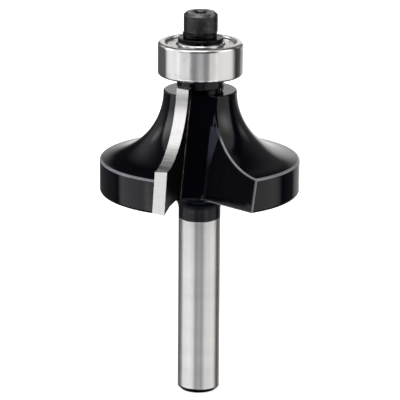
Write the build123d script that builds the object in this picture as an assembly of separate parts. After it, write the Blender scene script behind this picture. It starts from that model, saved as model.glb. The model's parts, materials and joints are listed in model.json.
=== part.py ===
from build123d import *
from math import cos, radians, sin, sqrt, tan
import os

# Two-flute rounding-over router bit with a ball-bearing pilot.
# Millimetres. +Z runs up the tool axis from the end of the shank to the cap screw.
# A flute is drawn with its cutting face along +X and its gullet on the +Y side,
# which is the side that leads when the bit turns.

# --- shank ---
shank_diameter = 6.35
shank_length = 31.5            # shank end to the underside of the cutter
shank_end_chamfer = 0.5
shank_root_fillet = 2.95

# --- turned cutter body ---
body_setback = 0.85            # how far the steel stays inside the cutting circle
rim_bottom_round = 0.4
rim_edge_round = 0.4           # where the rim meets the cove
wing_top_chamfer = 0.15

# --- cutting circle and rounding-over form ---
round_radius = 9.525
pilot_edge_height = 0.545      # straight cutting edge above the round
cutting_length = 16.67
tip_lift = 0.2                 # tip starts this far above the underside of the cutter
tip_above_wing = 1.27          # tip stands this far above the flat top of the wings

# --- gullets ---
flute_count = 2
flute_clocking = -104.7        # turn of the first flute about the axis
rake_lag = 1.15                # cutting face behind the axis, at the underside
shear_angle = 3.5              # the cutting face leans forward as it rises
core_at_bottom = 6.2           # gullet floor to axis, at the underside
core_at_top = 4.4              # gullet floor to axis, at the wing tops
floor_turn = 14.7              # the floor faces this far ahead of the cutting face
floor_width = 3.3
heel_turn = 60.8               # the heel face runs out this far ahead of the cutting face
gullet_fillet = 3.0
heel_edge_round = 0.3

# --- carbide tips ---
tip_thickness = 1.9
tip_land = 0.25                # strip of steel between the gullet floor and the tip
tip_end_rise = 0.62            # the tip's lower end is ground up towards the core
tip_end_run = 2.8
relief_angle = 9.0
braze_gap = 0.05

# --- collar and arbor that carry the pilot bearing ---
neck_diameter = 6.0
neck_height = 0.45
collar_diameter = 7.0
bearing_above_tips = 1.0
collar_edge_chamfer = 0.12
arbor_fit_clearance = 0.01
arbor_recess = 0.35            # arbor end stays below the bearing's top face

# --- pilot bearing, 3/16 x 1/2 x 0.196 inch ---
bearing_bore = 4.7625
bearing_diameter = 12.7
bearing_width = 4.978
outer_edge_round = 0.4
ring_edge_chamfer = 0.2
inner_ring_diameter = 7.0
outer_land_diameter = 10.2
pitch_diameter = 8.732         # circle through the ball centres
ball_diameter = 2.381
ball_count = 7
race_conformity = 0.53
ball_clearance = 0.02          # between a ball and each race
mouth_diameter = 10.76         # opening in the outer ring's faces
mouth_depth = 0.35
shield_groove_diameter = 11.3
shield_groove_depth = 0.95     # from the face to the step that the shield sits on
shield_thickness = 0.2
shield_recess = 0.35           # shield's flat part below the face
shield_gap = 0.18              # shield bore to inner ring
shield_flat_diameter = 9.9
shield_rim_clearance = 0.06
snap_wire_diameter = 0.32
snap_ring_opening = 34.0       # missing part of the snap ring, in degrees
snap_wire_clearance = 0.02

# --- ribbon cage ---
cage_thickness = 0.16
cage_width = 1.0               # across the ribbon
pocket_clearance = 0.06

# --- washers and cap screw ---
thread_diameter = 3.175
thread_clearance = 0.03
washer_hole_clearance = 0.12
flat_washer_diameter = 6.8
flat_washer_thickness = 0.7
washer_edge_chamfer = 0.1
lock_washer_diameter = 5.1
lock_washer_thickness = 0.8
lock_washer_split = 0.35
lock_washer_split_angle = 35.0
lock_washer_shift = 0.1        # it lies off centre by part of its play on the screw
split_direction = 200.0
head_diameter = 5.08
head_height = 3.0
head_top_chamfer = 0.38
head_bottom_chamfer = 0.12
hex_across_flats = 2.38
hex_depth = 1.5
hex_mouth_chamfer = 0.18
screw_length = 9.5
screw_end_chamfer = 0.4
tapped_depth = 10.2
tap_drill_diameter = 2.6
tap_drill_depth = 11.4
drill_point_angle = 118.0

# --- values that follow ---
shank_radius = shank_diameter / 2
cutting_radius = bearing_diameter / 2 + round_radius
cove_radius = round_radius + body_setback
body_radius = cutting_radius - body_setback
straight_edge_height = cutting_length - round_radius - pilot_edge_height
body_height = tip_lift + cutting_length - tip_above_wing
body_bottom = shank_length
body_top = body_bottom + body_height
rim_top = body_top - wing_top_chamfer - sqrt(cove_radius**2 - body_setback**2)
wing_radius = cutting_radius - cove_radius
collar_bottom = body_top + neck_height
bearing_bottom = body_bottom + tip_lift + cutting_length + bearing_above_tips
bearing_middle = bearing_bottom + bearing_width / 2
bearing_top = bearing_bottom + bearing_width
arbor_radius = bearing_bore / 2 - arbor_fit_clearance
arbor_top = bearing_top - arbor_recess
pitch_radius = pitch_diameter / 2
ball_radius = ball_diameter / 2
cage_inner_radius = pitch_radius - cage_width / 2
cage_outer_radius = pitch_radius + cage_width / 2
washer_top = bearing_top + flat_washer_thickness
head_bottom = washer_top + lock_washer_thickness
washer_hole_radius = thread_diameter / 2 + washer_hole_clearance
shear = tan(radians(shear_angle))
tip_bottom = body_bottom + tip_lift
margin = 2.0                   # how far cutting tools run past what they cut
reach = cutting_radius + 2 * margin


def revolved(outline):
    """One turn of a closed outline drawn as radius and height."""
    return revolve(Plane.XZ * make_face(outline), Axis.Z)


def ring(inner_radius, outer_radius, bottom, height, chamfer_size):
    """Plain ring with its outer edges broken."""
    blank = Cylinder(outer_radius, height)
    blank = chamfer(blank.edges(), chamfer_size) - Cylinder(inner_radius, height)
    return Pos(0, 0, bottom + height / 2) * blank


# --- cutter body ---

def turned_body():
    """Shank, cove-shaped head, neck, collar and arbor, all turned from one bar."""
    outline = [
        Line((0, 0), (shank_radius - shank_end_chamfer, 0)),
        Line((shank_radius - shank_end_chamfer, 0), (shank_radius, shank_end_chamfer)),
        Line((shank_radius, shank_end_chamfer), (shank_radius, body_bottom - shank_root_fillet)),
        RadiusArc((shank_radius, body_bottom - shank_root_fillet),
                  (shank_radius + shank_root_fillet, body_bottom), shank_root_fillet),
        Line((shank_radius + shank_root_fillet, body_bottom), (body_radius - rim_bottom_round, body_bottom)),
        RadiusArc((body_radius - rim_bottom_round, body_bottom),
                  (body_radius, body_bottom + rim_bottom_round), -rim_bottom_round),
        Line((body_radius, body_bottom + rim_bottom_round), (body_radius, rim_top)),
        RadiusArc((body_radius, rim_top), (wing_radius, body_top - wing_top_chamfer), cove_radius),
        Line((wing_radius, body_top - wing_top_chamfer), (wing_radius - wing_top_chamfer, body_top)),
        Polyline((wing_radius - wing_top_chamfer, body_top),
                 (neck_diameter / 2, body_top),
                 (neck_diameter / 2, collar_bottom),
                 (collar_diameter / 2 - collar_edge_chamfer, collar_bottom),
                 (collar_diameter / 2, collar_bottom + collar_edge_chamfer),
                 (collar_diameter / 2, bearing_bottom - collar_edge_chamfer),
                 (collar_diameter / 2 - collar_edge_chamfer, bearing_bottom),
                 (arbor_radius, bearing_bottom),
                 (arbor_radius, arbor_top - collar_edge_chamfer),
                 (arbor_radius - collar_edge_chamfer, arbor_top),
                 (0, arbor_top),
                 (0, 0)),
    ]
    profile = make_face(outline)
    rim_edge = profile.vertices().sort_by_distance((body_radius, rim_top))[0]
    profile = fillet(rim_edge, rim_edge_round)
    return revolve(Plane.XZ * profile, Axis.Z)


def gullet_corner():
    """Where the cutting face meets the gullet floor, at the underside of the cutter."""
    turn = radians(floor_turn)
    return ((core_at_bottom + rake_lag * sin(turn)) / cos(turn), -rake_lag)


def gullet_direction():
    """The gullet's slant: forward with the cutting face, and inwards with the floor."""
    turn = radians(floor_turn)
    floor_rise = (core_at_bottom - core_at_top) / body_height
    return Vector(-(floor_rise + shear * sin(turn)) / cos(turn), shear, 1)


def gullet_cutter():
    """Slanted prism that opens one gullet: cutting face, floor, fillet and heel face."""
    slant = gullet_direction()
    inner = Vector(*gullet_corner())
    across = Vector(-sin(radians(floor_turn)), cos(radians(floor_turn)))
    heel = Vector(cos(radians(heel_turn)), sin(radians(heel_turn)))
    floor_end = inner + across * floor_width
    tangent = gullet_fillet * tan(radians(90 + floor_turn - heel_turn) / 2)
    fillet_start = floor_end - across * tangent
    fillet_end = floor_end + heel * tangent
    outline = [
        Line(inner + Vector(reach, 0), inner),
        Line(inner, fillet_start),
        RadiusArc(fillet_start, fillet_end, gullet_fillet),
        Line(fillet_end, fillet_end + heel * reach),
        Line(fillet_end + heel * reach, inner + Vector(reach, 0)),
    ]
    start = Vector(0, 0, body_bottom) - slant * margin
    height = bearing_bottom - body_bottom + margin
    return Pos(*start) * extrude(make_face(outline), amount=height * slant.length, dir=slant)


def rake_plane():
    """Cutting face of a flute. Its own X runs outwards and its Y runs up the tool."""
    lean = radians(shear_angle)
    origin = (0, -rake_lag + shear * tip_lift, tip_bottom)
    return Plane(origin=origin, x_dir=(1, 0, 0), z_dir=(0, -cos(lean), sin(lean)))


def tip_inner_edge(height):
    """Inner edge of a tip, at a height above its lower end."""
    return gullet_corner()[0] + tip_land + gullet_direction().X * (tip_lift + height)


def tip_blank():
    """Flat plate behind the cutting face, before its outer edge is ground."""
    edge = sqrt(cutting_radius**2 - rake_lag**2)
    outline = Polyline((tip_inner_edge(tip_end_rise), tip_end_rise), (edge - tip_end_run, tip_end_rise),
                       (edge, 0), (reach, 0), (reach, cutting_length),
                       (tip_inner_edge(cutting_length), cutting_length), close=True)
    return extrude(rake_plane() * make_face(outline), amount=tip_thickness)


def tip_seat():
    """Seat milled right through the wing, with room for the braze behind and inside the tip."""
    bottom = -margin
    top = cutting_length + margin
    outline = Polyline((tip_inner_edge(bottom) - braze_gap, bottom), (reach, bottom), (reach, top),
                       (tip_inner_edge(top) - braze_gap, top), close=True)
    face = rake_plane() * make_face(outline)
    return extrude(face, amount=tip_thickness + braze_gap) + extrude(face, amount=-margin)


def tip_form():
    """Rounding-over form, drawn on the cutting face and drawn back at the relief angle."""
    edge = sqrt(cutting_radius**2 - rake_lag**2)
    pilot_edge = edge - round_radius
    arc_end = straight_edge_height + round_radius
    outline = [
        Line((0, -margin), (edge, -margin)),
        Line((edge, -margin), (edge, straight_edge_height)),
        RadiusArc((edge, straight_edge_height), (pilot_edge, arc_end), round_radius),
        Line((pilot_edge, arc_end), (pilot_edge, cutting_length + margin)),
        Line((pilot_edge, cutting_length + margin), (0, cutting_length + margin)),
        Line((0, cutting_length + margin), (0, -margin)),
    ]
    plane = rake_plane()
    relief = tan(radians(relief_angle))
    back = plane.z_dir - plane.x_dir * relief - plane.y_dir * relief
    depth = tip_thickness + margin
    return extrude(plane * make_face(outline), amount=depth * back.length, dir=back)


def carbide_tip():
    return tip_form() & tip_blank()


def tapped_hole():
    """Hole for the cap screw, with the drill's own point at its end."""
    drill_radius = tap_drill_diameter / 2
    point = drill_radius / tan(radians(drill_point_angle / 2))
    thread_radius = thread_diameter / 2 + thread_clearance
    outline = Polyline((0, arbor_top + margin), (thread_radius, arbor_top + margin),
                       (thread_radius, arbor_top - tapped_depth),
                       (drill_radius, arbor_top - tapped_depth),
                       (drill_radius, arbor_top - tap_drill_depth),
                       (0, arbor_top - tap_drill_depth - point), close=True)
    return revolved(outline)


def heel_edges(body, turn):
    """Outer edges of a heel face: along the cove, down the rim and under the wing."""
    slant = gullet_direction().rotate(Axis.Z, turn)
    outwards = Vector(1, 0, 0).rotate(Axis.Z, turn + heel_turn)
    normal = outwards.cross(slant)
    heel = [face for face in body.faces().filter_by(GeomType.PLANE)
            if normal.get_angle(face.normal_at()) < 1 or normal.get_angle(face.normal_at()) > 179]
    heel = sorted(heel, key=lambda face: face.center().dot(outwards))[-1]
    return [edge for edge in heel.edges()
            if edge.geom_type != GeomType.LINE or abs((edge % 0.5).dot(slant.normalized())) < 0.9]


def cutter_body():
    body = turned_body() - tapped_hole()
    turns = [flute_clocking + number * 360 / flute_count for number in range(flute_count)]
    for turn in turns:
        body -= Rot(0, 0, turn) * gullet_cutter()
    for turn in turns:
        body = fillet(heel_edges(body, turn), heel_edge_round)
    for turn in turns:
        body -= Rot(0, 0, turn) * tip_seat()
    return body


# --- pilot bearing ---

def inner_ring():
    groove = ball_radius * 2 * race_conformity
    groove_center = pitch_radius - ball_radius - ball_clearance + groove
    blank = ring(bearing_bore / 2, inner_ring_diameter / 2, bearing_bottom, bearing_width, ring_edge_chamfer)
    return blank - Pos(0, 0, bearing_middle) * Torus(groove_center, groove)


def outer_ring():
    groove = ball_radius * 2 * race_conformity
    groove_center = pitch_radius + ball_radius + ball_clearance - groove
    blank = Pos(0, 0, bearing_middle) * Cylinder(bearing_diameter / 2, bearing_width)
    blank = fillet(blank.edges(), outer_edge_round)
    blank -= Pos(0, 0, bearing_middle) * Cylinder(outer_land_diameter / 2, bearing_width)
    for side in (-1, 1):
        mouth = Pos(0, 0, side * (bearing_width - mouth_depth) / 2)
        seat_height = shield_groove_depth - mouth_depth
        seat = Pos(0, 0, side * (bearing_width / 2 - mouth_depth - seat_height / 2))
        blank -= Pos(0, 0, bearing_middle) * mouth * Cylinder(mouth_diameter / 2, mouth_depth)
        blank -= Pos(0, 0, bearing_middle) * seat * Cylinder(shield_groove_diameter / 2, seat_height)
    return blank - Pos(0, 0, bearing_middle) * Torus(groove_center, groove)


def shield():
    """Dished shield of the upper side, at its place above the bearing's middle."""
    face = bearing_width / 2
    bore = inner_ring_diameter / 2 + shield_gap
    flat = shield_flat_diameter / 2
    rim = shield_groove_diameter / 2 - shield_rim_clearance
    top = face - shield_recess
    flange_top = face - shield_groove_depth + shield_thickness
    drop = top - flange_top
    outline = Polyline((bore, top), (flat, top), (flat + drop / 2, flange_top), (rim, flange_top),
                       (rim, flange_top - shield_thickness),
                       (flat + drop / 2 - shield_thickness / 2, flange_top - shield_thickness),
                       (flat - shield_thickness / 2, top - shield_thickness),
                       (bore, top - shield_thickness), close=True)
    return revolved(outline)


def snap_ring():
    """Open wire ring that holds the upper shield down, in its groove."""
    wire = snap_wire_diameter / 2
    wire_center = shield_groove_diameter / 2 - wire - snap_wire_clearance
    height = bearing_width / 2 - shield_groove_depth + shield_thickness + wire + snap_wire_clearance
    section = Plane.XZ * Pos(wire_center, height) * Circle(wire)
    return revolve(section, Axis.Z, revolution_arc=360 - snap_ring_opening)


def cage_half():
    """Pressed ribbon of the upper side: flat between the balls and cupped over each one."""
    pocket = ball_radius + pocket_clearance
    band = Cylinder(cage_outer_radius, bearing_width) - Cylinder(cage_inner_radius, bearing_width)
    ribbon = band & Pos(0, 0, cage_thickness / 2) * Cylinder(cage_outer_radius, cage_thickness)
    upper = Pos(0, 0, bearing_width / 2) * Cylinder(cage_outer_radius, bearing_width)
    for number in range(ball_count):
        place = Rot(0, 0, number * 360 / ball_count) * Pos(pitch_radius, 0, 0)
        ribbon += (place * Sphere(pocket + cage_thickness)) & band & upper
    for number in range(ball_count):
        place = Rot(0, 0, number * 360 / ball_count) * Pos(pitch_radius, 0, 0)
        ribbon -= place * Sphere(pocket)
    return ribbon


def ball(number):
    return Rot(0, 0, number * 360 / ball_count) * Pos(pitch_radius, 0, bearing_middle) * Sphere(ball_radius)


# --- washers and screw ---

def lock_washer():
    """Spring washer pressed flat, with its slanted split."""
    height = lock_washer_thickness
    washer = ring(washer_hole_radius, lock_washer_diameter / 2, washer_top, height, washer_edge_chamfer)
    split = Box(lock_washer_diameter, lock_washer_split, 4 * height)
    split = Pos(lock_washer_diameter / 2, 0, 0) * Rot(lock_washer_split_angle, 0, 0) * split
    washer -= Pos(0, 0, washer_top + height / 2) * Rot(0, 0, split_direction) * split
    return Pos(-lock_washer_shift, 0, 0) * washer


def cap_screw():
    """Socket head cap screw; its thread is a plain cylinder at the thread's outer size."""
    head_radius = head_diameter / 2
    thread_radius = thread_diameter / 2
    top = head_bottom + head_height
    end = head_bottom - screw_length
    outline = Polyline((0, end), (thread_radius - screw_end_chamfer, end),
                       (thread_radius, end + screw_end_chamfer), (thread_radius, head_bottom),
                       (head_radius - head_bottom_chamfer, head_bottom),
                       (head_radius, head_bottom + head_bottom_chamfer),
                       (head_radius, top - head_top_chamfer),
                       (head_radius - head_top_chamfer, top), (0, top), close=True)
    screw = revolved(outline)
    hexagon = RegularPolygon(hex_across_flats / 2, 6, major_radius=False)
    screw -= Pos(0, 0, top - hex_depth) * extrude(hexagon, amount=hex_depth + margin)
    corner = hex_across_flats / 2 / cos(radians(30))
    mouth = corner + hex_mouth_chamfer
    cone = Cone(0, mouth, mouth, align=(Align.CENTER, Align.CENTER, Align.MAX))
    return screw - Pos(0, 0, top) * cone


def lower(upper_piece):
    """The same piece on the bearing's lower side."""
    return mirror(upper_piece, about=Plane.XY)


parts = {"cutter_body": cutter_body()}
for number in range(flute_count):
    turn = flute_clocking + number * 360 / flute_count
    parts[f"carbide_tip_{number + 1}"] = Rot(0, 0, turn) * carbide_tip()
middle = Pos(0, 0, bearing_middle)
parts["bearing_inner_ring"] = inner_ring()
parts["bearing_outer_ring"] = outer_ring()
for number in range(ball_count):
    parts[f"bearing_ball_{number + 1}"] = ball(number)
parts["cage_upper"] = middle * cage_half()
parts["cage_lower"] = middle * lower(cage_half())
parts["shield_upper"] = middle * shield()
parts["shield_lower"] = middle * lower(shield())
parts["snap_ring_upper"] = middle * snap_ring()
parts["snap_ring_lower"] = middle * lower(snap_ring())
parts["flat_washer"] = ring(washer_hole_radius, flat_washer_diameter / 2, bearing_top,
                            flat_washer_thickness, washer_edge_chamfer)
parts["lock_washer"] = lock_washer()
parts["cap_screw"] = cap_screw()

os.makedirs("parts", exist_ok=True)
for name, solid in parts.items():
    export_step(solid, f"parts/{name}.step")
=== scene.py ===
import json
import math

import bmesh
import bpy
from mathutils import Matrix, Vector, noise


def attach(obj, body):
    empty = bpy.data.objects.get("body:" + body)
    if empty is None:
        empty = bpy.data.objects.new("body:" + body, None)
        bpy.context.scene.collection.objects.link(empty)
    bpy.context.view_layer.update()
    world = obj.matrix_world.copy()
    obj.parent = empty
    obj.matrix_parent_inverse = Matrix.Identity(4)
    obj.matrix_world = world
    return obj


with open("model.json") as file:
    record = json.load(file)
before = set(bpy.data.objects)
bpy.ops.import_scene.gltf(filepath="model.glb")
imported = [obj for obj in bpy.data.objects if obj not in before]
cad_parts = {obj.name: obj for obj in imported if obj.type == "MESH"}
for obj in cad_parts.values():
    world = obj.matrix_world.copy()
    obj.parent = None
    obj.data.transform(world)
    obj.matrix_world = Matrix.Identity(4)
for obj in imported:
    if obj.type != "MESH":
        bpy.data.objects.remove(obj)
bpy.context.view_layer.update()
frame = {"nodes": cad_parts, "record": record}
scene = bpy.context.scene
mm = 0.001
print("frame loaded:", len(frame["nodes"]), "nodes")

# camera, in millimetres and degrees
cameraSetup = {
    "target": (0.0, 0.0, 29.81),
    "distance": 400.0,
    "elevation": 15.9,
    "roll": 0.396,
    "lens": 238.6,
    "shiftX": 0.0011,
    "shiftY": 0.00125,
}


def addCamera(setup):
    data = bpy.data.cameras.new("camera")
    data.lens = setup["lens"]
    data.sensor_width = 36.0
    data.shift_x = setup["shiftX"]
    data.shift_y = setup["shiftY"]
    data.clip_start = 0.01
    data.clip_end = 10.0
    camera = bpy.data.objects.new("camera", data)
    scene.collection.objects.link(camera)
    tilt = math.radians(setup["elevation"])
    back = Vector((0.0, -math.cos(tilt), math.sin(tilt))) * setup["distance"]
    place = Matrix.Translation((Vector(setup["target"]) + back) * mm)
    turn = Matrix.Rotation(math.radians(90.0) - tilt, 4, "X")
    roll = Matrix.Rotation(math.radians(setup["roll"]), 4, "Z")
    camera.matrix_world = place @ turn @ roll
    scene.camera = camera


addCamera(cameraSetup)
scene.view_settings.view_transform = "Standard"
scene.view_settings.look = "None"
scene.view_settings.exposure = 0.0
scene.view_settings.gamma = 1.0

# studio, in degrees: azimuth 0 is the camera's side and grows to its right, elevation is above the horizon
coolWhite = (0.985, 0.985, 1.0)
warmWhite = (1.0, 0.98, 0.96)
plainWhite = (1.0, 1.0, 1.0)
studio = {
    "backdrop": plainWhite,
    "ambient": 0.02,
    "panels": [
        {"name": "left softbox", "light": 0.95, "tint": coolWhite,
         "azimuth": (-106.0, -60.0), "elevation": (-14.0, 57.0), "soft": (3.5, 8.0)},
        {"name": "left softbox, low", "light": 0.95, "tint": coolWhite,
         "azimuth": (-104.0, -60.0), "elevation": (-38.0, -14.0), "soft": (5.0, 6.0)},
        {"name": "left softbox, inner", "light": 1.55, "tint": coolWhite,
         "azimuth": (-60.0, -30.0), "elevation": (9.0, 50.0), "soft": (4.0, 5.0)},
        {"name": "left card", "light": 2.0, "tint": coolWhite,
         "azimuth": (-64.0, -29.0), "elevation": (-36.0, -15.0), "soft": (5.0, 5.0)},
        {"name": "left lamp", "light": 2.2, "tint": coolWhite,
         "azimuth": (-107.0, -84.0), "elevation": (10.0, 32.0), "soft": (3.0, 11.0)},
        {"name": "left softbox, top", "light": 1.2, "tint": coolWhite,
         "azimuth": (-100.0, -42.0), "elevation": (55.0, 74.0), "soft": (14.0, 7.0)},
        {"name": "left room", "light": 0.42, "tint": coolWhite,
         "azimuth": (-150.0, -116.0), "elevation": (4.0, 44.0), "soft": (12.0, 14.0)},
        {"name": "left window", "light": 1.1, "tint": coolWhite,
         "azimuth": (-133.0, -117.0), "elevation": (16.0, 26.0), "soft": (5.0, 5.0)},
        {"name": "left ground", "light": 0.07, "tint": coolWhite,
         "azimuth": (-165.0, -112.0), "elevation": (-60.0, 2.0), "soft": (8.0, 8.0)},
        {"name": "right softbox", "light": 0.88, "tint": warmWhite,
         "azimuth": (47.0, 97.0), "elevation": (-13.0, 57.0), "soft": (4.0, 8.0)},
        {"name": "right softbox, low", "light": 0.80, "tint": warmWhite,
         "azimuth": (40.0, 105.0), "elevation": (-38.0, -13.0), "soft": (6.0, 6.0)},
        {"name": "right card", "light": 1.7, "tint": warmWhite,
         "azimuth": (25.0, 48.0), "elevation": (-36.0, -15.0), "soft": (4.0, 5.0)},
        {"name": "right lamp", "light": 2.3, "tint": warmWhite,
         "azimuth": (60.0, 88.0), "elevation": (10.0, 28.0), "soft": (13.0, 11.0)},
        {"name": "right window", "light": 0.6, "tint": warmWhite,
         "azimuth": (119.0, 134.0), "elevation": (12.0, 22.0), "soft": (6.0, 6.0)},
        {"name": "right room", "light": 0.12, "tint": plainWhite,
         "azimuth": (116.0, 170.0), "elevation": (-10.0, 42.0), "soft": (5.0, 14.0)},
        {"name": "wall behind, low", "light": 0.45, "tint": warmWhite,
         "azimuth": (138.0, 160.0), "elevation": (-32.0, -6.0), "soft": (6.0, 6.0)},
        {"name": "wall behind", "light": 1.0, "tint": plainWhite,
         "azimuth": (160.0, 187.0), "elevation": (-30.0, 17.0), "soft": (5.0, 6.0)},
        {"name": "table", "light": 0.85, "tint": (0.94, 0.96, 1.0),
         "azimuth": (-36.0, 32.0), "elevation": (-36.0, -17.0), "soft": (6.0, 4.0)},
        {"name": "lens hood", "light": 0.8, "tint": plainWhite,
         "azimuth": (-8.0, 8.0), "elevation": (-34.0, -17.0), "soft": (4.0, 4.0)},
        {"name": "top light", "light": 0.9, "tint": plainWhite,
         "azimuth": (-181.0, 181.0), "elevation": (62.0, 110.0), "soft": (1.0, 10.0)},
        {"name": "top lamp, front", "light": 4.0, "tint": plainWhite,
         "azimuth": (-42.0, 32.0), "elevation": (60.0, 80.0), "soft": (10.0, 7.0)},
    ],
}


def addMath(nodes, links, operation, *values):
    node = nodes.new("ShaderNodeMath")
    node.operation = operation
    for socket, value in zip(node.inputs, values):
        if isinstance(value, (int, float)):
            socket.default_value = value
        else:
            links.new(value, socket)
    return node.outputs[0]


def addProduct(nodes, links, first, *others):
    for other in others:
        first = addMath(nodes, links, "MULTIPLY", first, other)
    return first


def addVectorMath(nodes, links, operation, *values):
    node = nodes.new("ShaderNodeVectorMath")
    node.operation = operation
    sockets = [node.inputs[0], node.inputs["Scale"]] if operation == "SCALE" else node.inputs
    for socket, value in zip(sockets, values):
        if isinstance(value, bpy.types.NodeSocket):
            links.new(value, socket)
        else:
            socket.default_value = value
    return node.outputs["Value"] if operation in ("DOT_PRODUCT", "LENGTH") else node.outputs[0]


def addRamp(nodes, links, value, fromLow, fromHigh, toLow=0.0, toHigh=1.0):
    node = nodes.new("ShaderNodeMapRange")
    node.interpolation_type = "SMOOTHSTEP"
    links.new(value, node.inputs["Value"])
    node.inputs["From Min"].default_value = fromLow
    node.inputs["From Max"].default_value = fromHigh
    node.inputs["To Min"].default_value = toLow
    node.inputs["To Max"].default_value = toHigh
    return node.outputs["Result"]


def addBand(nodes, links, value, low, high, soft):
    rise = addRamp(nodes, links, value, low - soft, low + soft)
    fall = addRamp(nodes, links, value, high - soft, high + soft, 1.0, 0.0)
    return addProduct(nodes, links, rise, fall)


def addWorld(setup):
    world = bpy.data.worlds.new("studio")
    world.use_nodes = True
    scene.world = world
    nodes, links = world.node_tree.nodes, world.node_tree.links
    nodes.clear()
    split = nodes.new("ShaderNodeSeparateXYZ")
    links.new(nodes.new("ShaderNodeTexCoord").outputs["Generated"], split.inputs[0])
    front = addProduct(nodes, links, split.outputs["Y"], -1.0)
    azimuth = addMath(nodes, links, "DEGREES", addMath(nodes, links, "ARCTAN2", split.outputs["X"], front))
    wrapped = addMath(nodes, links, "WRAP", azimuth, 360.0, 0.0)    # 0 to 360, for the panels behind
    elevation = addMath(nodes, links, "DEGREES", addMath(nodes, links, "ARCSINE", split.outputs["Z"]))
    total = None
    for panel in setup["panels"]:
        angle = wrapped if panel["azimuth"][1] > 181.0 else azimuth
        across = addBand(nodes, links, angle, *panel["azimuth"], panel["soft"][0])
        up = addBand(nodes, links, elevation, *panel["elevation"], panel["soft"][1])
        light = [channel * panel["light"] for channel in panel["tint"]]
        glow = addVectorMath(nodes, links, "SCALE", light, addProduct(nodes, links, across, up))
        total = glow if total is None else addVectorMath(nodes, links, "ADD", total, glow)
    total = addVectorMath(nodes, links, "ADD", total, [setup["ambient"]] * 3)
    lights = nodes.new("ShaderNodeBackground")
    links.new(total, lights.inputs["Color"])
    backdrop = nodes.new("ShaderNodeBackground")
    backdrop.inputs["Color"].default_value = (*setup["backdrop"], 1.0)
    mix = nodes.new("ShaderNodeMixShader")
    links.new(nodes.new("ShaderNodeLightPath").outputs["Is Camera Ray"], mix.inputs[0])
    links.new(lights.outputs[0], mix.inputs[1])
    links.new(backdrop.outputs[0], mix.inputs[2])
    links.new(mix.outputs[0], nodes.new("ShaderNodeOutputWorld").inputs["Surface"])


addWorld(studio)
print("camera and studio made")


def newMaterial(name):
    material = bpy.data.materials.new(name)
    material.use_nodes = True
    nodes = material.node_tree.nodes
    return material, nodes, material.node_tree.links, nodes["Principled BSDF"]


def objectCoordinates(nodes, links, scale=(1.0, 1.0, 1.0)):
    coordinates = nodes.new("ShaderNodeTexCoord")
    mapping = nodes.new("ShaderNodeMapping")
    mapping.inputs["Scale"].default_value = scale
    links.new(coordinates.outputs["Object"], mapping.inputs["Vector"])
    return mapping.outputs[0]


def addNoise(nodes, links, vector, scale, detail=2.0, roughness=0.5):
    node = nodes.new("ShaderNodeTexNoise")
    links.new(vector, node.inputs["Vector"])
    node.inputs["Scale"].default_value = scale
    node.inputs["Detail"].default_value = detail
    node.inputs["Roughness"].default_value = roughness
    return node.outputs["Fac"]


def addRoundedEdge(nodes, radius, samples):
    node = nodes.new("ShaderNodeBevel")
    node.samples = samples
    node.inputs["Radius"].default_value = radius * mm
    return node.outputs[0]


def addBump(nodes, links, height, normal=None):    # height in mm
    node = nodes.new("ShaderNodeBump")
    node.inputs["Strength"].default_value = 1.0
    node.inputs["Distance"].default_value = mm
    links.new(height, node.inputs["Height"])
    if normal is not None:
        links.new(normal, node.inputs["Normal"])
    return node.outputs[0]


def mixNumbers(nodes, links, factor, low, high):
    node = nodes.new("ShaderNodeMix")
    node.data_type = "FLOAT"
    for value, socket in ((factor, 0), (low, 2), (high, 3)):
        if isinstance(value, (int, float)):
            node.inputs[socket].default_value = value
        else:
            links.new(value, node.inputs[socket])
    return node.outputs[0]


def mixColors(nodes, links, factor, low, high):
    node = nodes.new("ShaderNodeMix")
    node.data_type = "RGBA"
    for value, socket in ((factor, 0), (low, 6), (high, 7)):
        if isinstance(value, (int, float)):
            node.inputs[socket].default_value = value
        elif isinstance(value, tuple):
            node.inputs[socket].default_value = (*value, 1.0)
        else:
            links.new(value, node.inputs[socket])
    return node.outputs[2]


# flutes: how they are turned about the axis, and where the heel face lies in a flute's own axes
flutes = {
    "clocking": (-104.7, 75.3),                # degrees
    "heelNormal": (0.8635, -0.4826, 0.1464),
    "heelOffset": 8.698,                       # mm from the axis
    "heelDirection": (0.4879, 0.8729, 0.0),    # outwards, along the face
}

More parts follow.
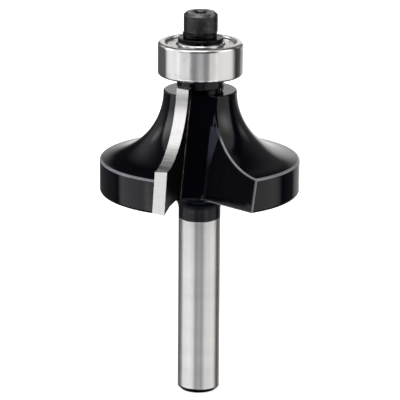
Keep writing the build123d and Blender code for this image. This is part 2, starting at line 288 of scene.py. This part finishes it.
# cutter body: gloss paint between the two heights, ground steel on the shank and arbor
bodyFinish = {
    "paintFrom": 27.3,                         # mm up
    "paintTo": 49.5,
    "paintWander": 0.06,                       # mm, how far the paint's edge strays
    "paintWanders": 260.0,                     # per metre
    "paintColor": (0.0008, 0.0010, 0.0030),
    "paintRoughness": (0.06, 0.12),
    "paintGloss": 0.36,                        # the shader's specular level
    "paintClouds": 190.0,                      # per metre, where the gloss changes
    "collarFrom": 47.25,                       # mm up, the paint is thinner from here
    "collarRoughness": 0.20,
    "neckTo": 30.0,                            # mm up, the paint is dull overspray below
    "neckRoughness": 0.30,
    "neckColor": (0.0012, 0.0018, 0.0062),
    "peelSize": 1.3,                           # mm across a ripple of the paint
    "peelHeight": 0.010,                       # mm
    "speckColor": (0.030, 0.029, 0.028),       # dust in the paint
    "speckHeight": 0.012,                      # mm
    "speckCells": 560.0,                       # per metre
    "speckRare": (0.80, 0.83),                 # raised, fewer cells hold a speck
    "edgeRound": 0.16,                         # mm, the paint softens every edge
    "paintedReflectionColor": (0.036, 0.039, 0.055),       # painted reflection: a lighter patch where the heel meets the gullet, standing in for light reflected there
    "paintedReflectionDepth": (0.25, 0.40),                # mm off the heel's plane
    "paintedReflectionInner": (4.62, 4.85),                # mm out along the heel
    "paintedReflectionOuter": (5.10, 5.35),
    "paintedReflectionLean": 0.26,                         # mm further out for each mm above the next height
    "paintedReflectionLeanFrom": 37.0,
    "paintedReflectionFoot": (36.0, 39.5),                 # mm up, faint below
    "paintedReflectionFootShare": 0.16,
    "paintedReflectionTop": (42.4, 42.9),                  # mm up, gone above
    # worn paint along the heel and rim edges, lightened further as a painted highlight of the rounded
    # edges
    "scuffHighlightColor": (0.27, 0.275, 0.30),
    "scuffHighlightRoughness": 0.32,
    "scuffHighlightWidth": 0.30,                          # mm, the band along the heel's edges
    "scuffHighlightFrom": 5.0,                            # mm out along the heel
    "scuffHighlightFoot": (36.0, 37.2),                   # mm up, weaker below
    "scuffHighlightFootShare": 0.6,
    "scuffHighlightTop": (40.5, 42.0),                    # mm up, gone above
    "rimLine": (51.29, 51.38),                 # mm, radius plus height at the rim's upper edge
    "rimLineShare": 0.8,
    "rimLineTop": (38.0, 38.5),                # mm up, keeps the line off the cove
    "steelColor": (0.84, 0.833, 0.828),
    "steelRoughness": (0.36, 0.43),
    "steelMottle": (90.0, 90.0, 420.0),        # marks per metre, in x, y and z
    "grindPitch": 0.12,                        # mm between grinding lines
    "grindBreaks": 40.0,                       # per metre, where a line stops
    "grindHeight": 0.00010,                    # mm
    "grindDraw": 0.7,                          # how far the lines draw a highlight out
    "paintedShadeTo": 0.75,                            # mm up, painted shade: the shank's end is darkened where it stands on the floor
    "paintedShadeShare": 0.02,
}


def heightRamp(nodes, links, height, limits, toLow=0.0, toHigh=1.0):
    return addRamp(nodes, links, height, limits[0] * mm, limits[1] * mm, toLow, toHigh)


def roundTangent(nodes, links, place):
    around = addVectorMath(nodes, links, "CROSS_PRODUCT", (0.0, 0.0, 1.0), place)
    return addVectorMath(nodes, links, "NORMALIZE", around)


def turnedDirection(direction, degrees):
    return Matrix.Rotation(math.radians(degrees), 3, "Z") @ Vector(direction)


def heelDepthAndReach(nodes, links, place, clocking):
    normal = turnedDirection(flutes["heelNormal"], clocking)
    out = turnedDirection(flutes["heelDirection"], clocking)
    across = addVectorMath(nodes, links, "DOT_PRODUCT", place, normal)
    depth = addMath(nodes, links, "SUBTRACT", flutes["heelOffset"] * mm, across)
    reach = addVectorMath(nodes, links, "DOT_PRODUCT", place, out)
    return depth, reach


# worn paint plus a painted highlight: a lighter band along each heel's outer edges
def heelScuffHighlight(nodes, links, place, height, finish):
    width = finish["scuffHighlightWidth"] * mm
    start = finish["scuffHighlightFrom"] * mm
    total = 0.0
    for clocking in flutes["clocking"]:
        depth, reach = heelDepthAndReach(nodes, links, place, clocking)
        away = addMath(nodes, links, "ABSOLUTE", depth)
        band = addRamp(nodes, links, away, width * 0.7, width, 1.0, 0.0)
        skin = addRamp(nodes, links, depth, 0.01 * mm, 0.05 * mm)    # leaves the heel face black
        outside = addRamp(nodes, links, reach, start - 0.4 * mm, start)
        band = addProduct(nodes, links, band, skin, outside)
        total = addMath(nodes, links, "MAXIMUM", total, band)
    top = heightRamp(nodes, links, height, finish["scuffHighlightTop"], 1.0, 0.0)
    foot = heightRamp(nodes, links, height, finish["scuffHighlightFoot"], finish["scuffHighlightFootShare"])
    return addProduct(nodes, links, total, top, foot)


# worn paint plus a painted highlight along the rim's upper edge
def rimScuffHighlight(nodes, links, place, height, finish):
    flat = addVectorMath(nodes, links, "MULTIPLY", place, (1.0, 1.0, 0.0))
    corner = addMath(nodes, links, "ADD", addVectorMath(nodes, links, "LENGTH", flat), height)
    line = heightRamp(nodes, links, corner, finish["rimLine"], 0.0, finish["rimLineShare"])
    return addProduct(nodes, links, line, heightRamp(nodes, links, height, finish["rimLineTop"], 1.0, 0.0))


# painted reflection: a lighter patch in each gullet's corner, where the heel meets the floor
def gulletPaintedReflection(nodes, links, place, height, finish):
    above = addMath(nodes, links, "SUBTRACT", height, finish["paintedReflectionLeanFrom"] * mm)
    lean = addProduct(nodes, links, addMath(nodes, links, "MAXIMUM", above, 0.0), finish["paintedReflectionLean"])
    total = 0.0
    for clocking in flutes["clocking"]:
        depth, reach = heelDepthAndReach(nodes, links, place, clocking)
        away = addMath(nodes, links, "ABSOLUTE", depth)
        near = heightRamp(nodes, links, away, finish["paintedReflectionDepth"], 1.0, 0.0)
        inner = heightRamp(nodes, links, reach, finish["paintedReflectionInner"])
        leaned = addMath(nodes, links, "SUBTRACT", reach, lean)
        outer = heightRamp(nodes, links, leaned, finish["paintedReflectionOuter"], 1.0, 0.0)
        total = addMath(nodes, links, "MAXIMUM", total, addProduct(nodes, links, inner, outer, near))
    top = heightRamp(nodes, links, height, finish["paintedReflectionTop"], 1.0, 0.0)
    foot = heightRamp(nodes, links, height, finish["paintedReflectionFoot"], finish["paintedReflectionFootShare"])
    return addProduct(nodes, links, total, top, foot)


def dustSpecks(nodes, links, place, finish):
    cells = nodes.new("ShaderNodeTexVoronoi")
    links.new(place, cells.inputs["Vector"])
    cells.inputs["Scale"].default_value = finish["speckCells"]
    speck = addRamp(nodes, links, cells.outputs["Distance"], 0.035, 0.075, 1.0, 0.0)
    rare = addRamp(nodes, links, cells.outputs["Color"], *finish["speckRare"])
    return addProduct(nodes, links, speck, rare)


def paintSurface(nodes, links, place, height, specks, finish):
    cloud = addNoise(nodes, links, place, finish["paintClouds"], 3.0)
    rough = addRamp(nodes, links, cloud, 0.35, 0.7, *finish["paintRoughness"])
    heel = heelScuffHighlight(nodes, links, place, height, finish)
    rim = rimScuffHighlight(nodes, links, place, height, finish)
    patchy = addRamp(nodes, links, cloud, 0.2, 0.5, 0.6, 1.0)
    # the edge bands are worn paint plus a painted highlight
    scuffHighlight = addProduct(nodes, links, addMath(nodes, links, "MAXIMUM", heel, rim), patchy)
    # painted reflection in the gullet's corners
    paintedReflection = gulletPaintedReflection(nodes, links, place, height, finish)
    collar = heightRamp(nodes, links, height, (finish["collarFrom"] - 0.1, finish["collarFrom"]))
    neck = heightRamp(nodes, links, height, (finish["neckTo"] - 0.2, finish["neckTo"]), 1.0, 0.0)
    color = mixColors(nodes, links, specks, finish["paintColor"], finish["speckColor"])
    color = mixColors(nodes, links, paintedReflection, color, finish["paintedReflectionColor"])
    color = mixColors(nodes, links, scuffHighlight, color, finish["scuffHighlightColor"])
    color = mixColors(nodes, links, neck, color, finish["neckColor"])
    rough = mixNumbers(nodes, links, scuffHighlight, rough, finish["scuffHighlightRoughness"])
    rough = mixNumbers(nodes, links, collar, rough, finish["collarRoughness"])
    rough = mixNumbers(nodes, links, neck, rough, finish["neckRoughness"])
    return color, rough


def steelSurface(nodes, links, height, lines, finish):
    broad = addNoise(nodes, links, objectCoordinates(nodes, links, finish["steelMottle"]), 1.0, 2.0)
    rough = addRamp(nodes, links, lines, 0.3, 0.7, *finish["steelRoughness"])
    mottle = addRamp(nodes, links, broad, 0.3, 0.7, 0.95, 1.03)
    scratch = addRamp(nodes, links, lines, 0.3, 0.7, 0.97, 1.02)
    # painted shade: the steel turns near black at the shank's end, where it stands on the floor
    paintedShadeLimits = (finish["paintedShadeTo"] - 0.1, finish["paintedShadeTo"])
    paintedShade = heightRamp(nodes, links, height, paintedShadeLimits, finish["paintedShadeShare"])
    shade = addProduct(nodes, links, mottle, scratch, paintedShade)
    return addVectorMath(nodes, links, "SCALE", finish["steelColor"], shade), rough


def paintedBody(finish):
    material, nodes, links, bsdf = newMaterial("black_paint_and_ground_steel")
    place = objectCoordinates(nodes, links)
    split = nodes.new("ShaderNodeSeparateXYZ")
    links.new(place, split.inputs[0])
    height = split.outputs["Z"]
    wander = finish["paintWander"] * mm
    drift = addNoise(nodes, links, place, finish["paintWanders"], 1.0)
    strayed = addMath(nodes, links, "ADD", height, addRamp(nodes, links, drift, 0.3, 0.7, -wander, wander))
    painted = addBand(nodes, links, strayed, finish["paintFrom"] * mm, finish["paintTo"] * mm, 0.05 * mm)

    specks = dustSpecks(nodes, links, place, finish)
    paintColor, paintRough = paintSurface(nodes, links, place, height, specks, finish)
    grind = (finish["grindBreaks"], finish["grindBreaks"], 1000.0 / finish["grindPitch"])
    lines = addNoise(nodes, links, objectCoordinates(nodes, links, grind), 1.0, 3.0, 0.7)
    steelColor, steelRough = steelSurface(nodes, links, strayed, lines, finish)

    links.new(mixColors(nodes, links, painted, steelColor, paintColor), bsdf.inputs["Base Color"])
    links.new(mixNumbers(nodes, links, painted, 1.0, 0.0), bsdf.inputs["Metallic"])
    links.new(mixNumbers(nodes, links, painted, steelRough, paintRough), bsdf.inputs["Roughness"])
    links.new(roundTangent(nodes, links, place), bsdf.inputs["Tangent"])
    bsdf.inputs["Anisotropic"].default_value = finish["grindDraw"]
    bsdf.inputs["Anisotropic Rotation"].default_value = 0.25
    bsdf.inputs["Specular IOR Level"].default_value = finish["paintGloss"]
    bsdf.inputs["IOR"].default_value = 1.5

    ripple = addNoise(nodes, links, place, 1000.0 / finish["peelSize"], 2.0)
    peel = addProduct(nodes, links, ripple, finish["peelHeight"])
    dust = addProduct(nodes, links, specks, finish["speckHeight"])
    paintHeight = addMath(nodes, links, "ADD", peel, dust)
    steelHeight = addProduct(nodes, links, lines, finish["grindHeight"])
    relief = mixNumbers(nodes, links, painted, steelHeight, paintHeight)
    rounded = addRoundedEdge(nodes, finish["edgeRound"], 6)
    links.new(addBump(nodes, links, relief, rounded), bsdf.inputs["Normal"])
    return material


# ground or pressed metal: one recipe for the rings, balls, cage, shields and wire
metalFinishes = {
    "bearing_ring": {
        "color": (0.82, 0.815, 0.81),
        "dirt": (0.68, 0.67, 0.66),
        "roughness": (0.22, 0.27),
        "draw": 0.75,                          # how far the grinding draws a highlight out
        "grain": (900.0, 900.0, 70.0),         # marks per metre, in x, y and z
        "grainHeight": 0.00010,                # mm
        "stain": 350.0,                        # stains per metre
        "edgeRound": 0.22,                     # mm
    },
    "bearing_ball": {
        "color": (0.78, 0.78, 0.80),
        "dirt": (0.70, 0.70, 0.71),
        "roughness": (0.05, 0.09),
        "draw": 0.0,
        "grain": (900.0, 900.0, 900.0),
        "grainHeight": 0.0001,
        "stain": 500.0,
        "edgeRound": 0.0,
    },
    "cage": {
        "color": (0.58, 0.56, 0.53),
        "dirt": (0.44, 0.41, 0.37),
        "roughness": (0.28, 0.42),
        "draw": 0.0,
        "grain": (1500.0, 1500.0, 1500.0),
        "grainHeight": 0.0012,
        "stain": 420.0,
        "edgeRound": 0.05,
    },
    "shield": {
        "color": (0.96, 0.91, 0.87),
        "dirt": (0.34, 0.27, 0.24),
        "roughness": (0.20, 0.32),
        "draw": 0.3,
        "grain": (2600.0, 2600.0, 2600.0),
        "grainHeight": 0.010,
        "stain": 1500.0,
        "edgeRound": 0.06,
    },
    "snap_wire": {
        "color": (0.55, 0.54, 0.53),
        "dirt": (0.40, 0.38, 0.35),
        "roughness": (0.22, 0.32),
        "draw": 0.0,
        "grain": (800.0, 800.0, 800.0),
        "grainHeight": 0.0005,
        "stain": 400.0,
        "edgeRound": 0.0,
    },
}


def plainMetal(name, finish):
    material, nodes, links, bsdf = newMaterial(name)
    place = objectCoordinates(nodes, links)
    grain = addNoise(nodes, links, objectCoordinates(nodes, links, finish["grain"]), 1.0, 3.0, 0.65)
    stain = addRamp(nodes, links, addNoise(nodes, links, place, finish["stain"], 3.0, 0.6), 0.50, 0.75)
    links.new(mixColors(nodes, links, stain, finish["color"], finish["dirt"]), bsdf.inputs["Base Color"])
    links.new(addRamp(nodes, links, grain, 0.3, 0.7, *finish["roughness"]), bsdf.inputs["Roughness"])
    bsdf.inputs["Metallic"].default_value = 1.0
    if finish["draw"] > 0.0:
        links.new(roundTangent(nodes, links, place), bsdf.inputs["Tangent"])
        bsdf.inputs["Anisotropic"].default_value = finish["draw"]
        bsdf.inputs["Anisotropic Rotation"].default_value = 0.25
    rounded = addRoundedEdge(nodes, finish["edgeRound"], 8) if finish["edgeRound"] > 0.0 else None
    relief = addProduct(nodes, links, grain, finish["grainHeight"])
    links.new(addBump(nodes, links, relief, rounded), bsdf.inputs["Normal"])
    return material


# carbide: bright ground lands; the cutting face is painted dark as a painted reflection of the dark
# surroundings, with scorch streaks from the brazing
carbideFinish = {
    "faceDirection": (0.9655, -0.2533, 0.061),    # square to the cutting face
    "landColor": (0.82, 0.805, 0.795),
    "landTone": (0.92, 1.04),
    "landRoughness": (0.32, 0.42),
    "landLines": (150.0, 150.0, 5200.0),          # marks per metre, in x, y and z
    "landScuffs": (3000.0, 3000.0, 500.0),
    "lineHeight": 0.0018,                         # mm
    # painted shade: the cutting face's colour is darkened to stand in for the dark surroundings it
    # reflects
    "shadedFaceColor": (0.088, 0.084, 0.081),
    "scorchColor": (0.130, 0.119, 0.110),
    "faceRoughness": (0.27, 0.33),
    "faceStreaks": (2600.0, 2600.0, 60.0),
}


def groundCarbide(finish):
    material, nodes, links, bsdf = newMaterial("ground_carbide")
    normal = nodes.new("ShaderNodeTexCoord").outputs["Normal"]
    toFace = addVectorMath(nodes, links, "DOT_PRODUCT", normal, finish["faceDirection"])
    face = addRamp(nodes, links, addMath(nodes, links, "ABSOLUTE", toFace), 0.94, 0.98)
    lines = addNoise(nodes, links, objectCoordinates(nodes, links, finish["landLines"]), 1.0, 2.0, 0.6)
    scuffs = addNoise(nodes, links, objectCoordinates(nodes, links, finish["landScuffs"]), 1.0, 2.0, 0.6)
    ground = addMath(nodes, links, "ADD", lines, addProduct(nodes, links, scuffs, 0.5))
    landRough = addRamp(nodes, links, ground, 0.5, 1.0, *finish["landRoughness"])
    landTone = addRamp(nodes, links, ground, 0.5, 1.0, *finish["landTone"])
    landColor = addVectorMath(nodes, links, "SCALE", finish["landColor"], landTone)
    streaks = addNoise(nodes, links, objectCoordinates(nodes, links, finish["faceStreaks"]), 1.0, 3.0, 0.6)
    scorch = addRamp(nodes, links, streaks, 0.42, 0.66)
    # painted shade on the cutting face, with scorch streaks from the brazing
    shadedFaceColor = mixColors(nodes, links, scorch, finish["shadedFaceColor"], finish["scorchColor"])
    faceRough = addRamp(nodes, links, streaks, 0.3, 0.7, *finish["faceRoughness"])
    links.new(mixColors(nodes, links, face, landColor, shadedFaceColor), bsdf.inputs["Base Color"])
    links.new(mixNumbers(nodes, links, face, landRough, faceRough), bsdf.inputs["Roughness"])
    bsdf.inputs["Metallic"].default_value = 1.0
    relief = addProduct(nodes, links, ground, finish["lineHeight"])
    links.new(addBump(nodes, links, relief), bsdf.inputs["Normal"])
    return material


# screw and washers: black oxide, grey where a key or finger rubs; the screw's top is lighter as worn metal
# plus a painted highlight
oxideFinishes = {
    "black_screw": {
        "color": (0.006, 0.006, 0.0075),
        "highlitWear": (0.21, 0.20, 0.19),
        "highlitWearFrom": 58.43,                     # mm up, worn metal plus a painted highlight above this
        "roughness": (0.24, 0.40),
        "blotch": 900.0,                       # blotches per metre
        "ior": 1.47,
        "dents": 0.022,                        # mm deep
        "edgeRound": 0.07,                     # mm
    },
    "black_washer": {
        "color": (0.0025, 0.0025, 0.0032),
        "highlitWear": (0.03, 0.03, 0.03),
        "highlitWearFrom": 60.0,
        "roughness": (0.16, 0.30),
        "blotch": 900.0,
        "ior": 1.27,
        "dents": 0.006,
        "edgeRound": 0.07,
    },
}


def blackOxide(name, finish):
    material, nodes, links, bsdf = newMaterial(name)
    place = objectCoordinates(nodes, links)
    split = nodes.new("ShaderNodeSeparateXYZ")
    links.new(place, split.inputs[0])
    # worn metal plus a painted highlight: the screw's top turns lighter grey in blotches
    highlitWearLimits = (finish["highlitWearFrom"] - 0.12, finish["highlitWearFrom"] + 0.10)
    high = heightRamp(nodes, links, split.outputs["Z"], highlitWearLimits)
    blotch = addNoise(nodes, links, place, finish["blotch"], 4.0, 0.6)
    fine = addNoise(nodes, links, place, finish["blotch"] * 1.7, 3.0, 0.6)
    highlitWear = addProduct(nodes, links, high, addRamp(nodes, links, blotch, 0.40, 0.62))
    rubbed = addRamp(nodes, links, fine, 0.46, 0.66, 0.0, 0.12)
    wearAndHighlight = addMath(nodes, links, "MAXIMUM", highlitWear, rubbed)
    links.new(mixColors(nodes, links, wearAndHighlight, finish["color"], finish["highlitWear"]), bsdf.inputs["Base Color"])
    links.new(addRamp(nodes, links, blotch, 0.3, 0.7, *finish["roughness"]), bsdf.inputs["Roughness"])
    bsdf.inputs["IOR"].default_value = finish["ior"]
    relief = addProduct(nodes, links, blotch, finish["dents"])
    rounded = addRoundedEdge(nodes, finish["edgeRound"], 6)
    links.new(addBump(nodes, links, relief, rounded), bsdf.inputs["Normal"])
    return material


def dressNodes():
    made = {"painted_body": paintedBody(bodyFinish), "carbide": groundCarbide(carbideFinish)}
    for name, finish in metalFinishes.items():
        made[name] = plainMetal(name + "_steel", finish)
    for name, finish in oxideFinishes.items():
        made[name] = blackOxide(name + "_oxide", finish)
    slots = {part["node"]: part["material_slot"] for part in frame["record"]["subparts"]}
    for name, node in frame["nodes"].items():
        for slot in node.material_slots:
            slot.material = made[slots[name]]
    return made


materials = dressNodes()
print("finishes given to", len(frame["nodes"]), "nodes")

# braze: the bead that shows along the inner edge of each tip
brazeBead = {
    "foot": (6.877, -1.1255, 31.9),            # mm, in the flute's own axes
    "top": (4.888, -0.2259, 46.6),
    "width": 0.20,                             # mm
    "height": 0.12,
    "rings": 48,
    "color": (0.60, 0.43, 0.35),
    "burnt": (0.02, 0.014, 0.01),
    "roughness": (0.3, 0.55),
    "burns": 1400.0,                           # per metre
}


def brazeMaterial(setup):
    material, nodes, links, bsdf = newMaterial("braze")
    burn = addNoise(nodes, links, objectCoordinates(nodes, links), setup["burns"], 4.0, 0.65)
    share = addRamp(nodes, links, burn, 0.38, 0.62)
    links.new(mixColors(nodes, links, share, setup["color"], setup["burnt"]), bsdf.inputs["Base Color"])
    links.new(addRamp(nodes, links, burn, 0.3, 0.7, *setup["roughness"]), bsdf.inputs["Roughness"])
    bsdf.inputs["Metallic"].default_value = 0.8
    return material


def beadSwell(share, number):    # uneven along the bead, small at both ends
    swell = 0.75 + 0.6 * noise.noise(Vector((share * 14.0, number * 3.7, 0.0)))
    if 0.0 < share < 1.0:
        return swell * min(1.0, 12.0 * share, 12.0 * (1.0 - share)) ** 0.5
    return swell * 0.15


def ringOrder(place):    # foot to top and round, so that every run numbers the bead alike
    return 1000.0 * place.z + math.atan2(place.y, place.x)


def addBrazeBead(setup, number):
    foot = Vector(setup["foot"])
    along = Vector(setup["top"]) - foot
    bead = bmesh.new()
    bmesh.ops.create_circle(bead, cap_ends=True, segments=10, radius=0.5)
    bmesh.ops.recalc_face_normals(bead, faces=bead.faces)
    section = list(bead.faces)
    for ring in range(setup["rings"]):
        grown = bmesh.ops.extrude_face_region(bead, geom=section)
        corners = [item for item in grown["geom"] if isinstance(item, bmesh.types.BMVert)]
        bmesh.ops.translate(bead, verts=corners, vec=(0.0, 0.0, 1.0 / setup["rings"]))
        if ring > 0:    # the first section stays, as the closed foot
            bmesh.ops.delete(bead, geom=section, context="FACES_ONLY")
        section = [item for item in grown["geom"] if isinstance(item, bmesh.types.BMFace)]
    bead.verts.sort(key=lambda vert: ringOrder(vert.co))
    bead.edges.sort(key=lambda edge: ringOrder((edge.verts[0].co + edge.verts[1].co) / 2))
    bead.faces.sort(key=lambda face: ringOrder(face.calc_center_median()))
    for vert in bead.verts:
        share = vert.co.z
        swell = beadSwell(share, number)
        offset = Vector((vert.co.x * setup["width"] * swell, vert.co.y * setup["height"] * swell, 0.0))
        vert.co = foot + along * share + offset
    bmesh.ops.recalc_face_normals(bead, faces=bead.faces)
    turn = Matrix.Rotation(math.radians(flutes["clocking"][number - 1]), 4, "Z")
    bmesh.ops.transform(bead, matrix=Matrix.Scale(mm, 4) @ turn, verts=bead.verts)
    for face in bead.faces:
        face.smooth = True
    mesh = bpy.data.meshes.new(f"braze_bead_{number}")
    bead.to_mesh(mesh)
    bead.free()
    piece = bpy.data.objects.new(mesh.name, mesh)
    scene.collection.objects.link(piece)
    mesh.materials.append(materials["braze"])
    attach(piece, "bit")


materials["braze"] = brazeMaterial(brazeBead)
for number in (1, 2):
    addBrazeBead(brazeBead, number)
print("braze beads made")

# floor: pale, lit like the backdrop, and left out of the reflections
floorSetup = {
    "size": 4.0,                               # m
    "drop": 0.02,                              # mm below the shank's end
    "color": (0.93, 0.93, 0.93),
    "glow": 0.72,
}


def addFloor(setup):
    flat = bmesh.new()
    bmesh.ops.create_grid(flat, x_segments=1, y_segments=1, size=setup["size"] / 2)
    bmesh.ops.translate(flat, verts=flat.verts, vec=(0.0, 0.0, -setup["drop"] * mm))
    mesh = bpy.data.meshes.new("floor")
    flat.to_mesh(mesh)
    flat.free()
    floor = bpy.data.objects.new("floor", mesh)
    scene.collection.objects.link(floor)
    material, nodes, links, bsdf = newMaterial("floor")
    bsdf.inputs["Base Color"].default_value = (*setup["color"], 1.0)
    bsdf.inputs["Roughness"].default_value = 0.9
    bsdf.inputs["Emission Color"].default_value = (1.0, 1.0, 1.0, 1.0)
    bsdf.inputs["Emission Strength"].default_value = setup["glow"]
    mesh.materials.append(material)
    floor.visible_glossy = False


addFloor(floorSetup)
print("floor made")
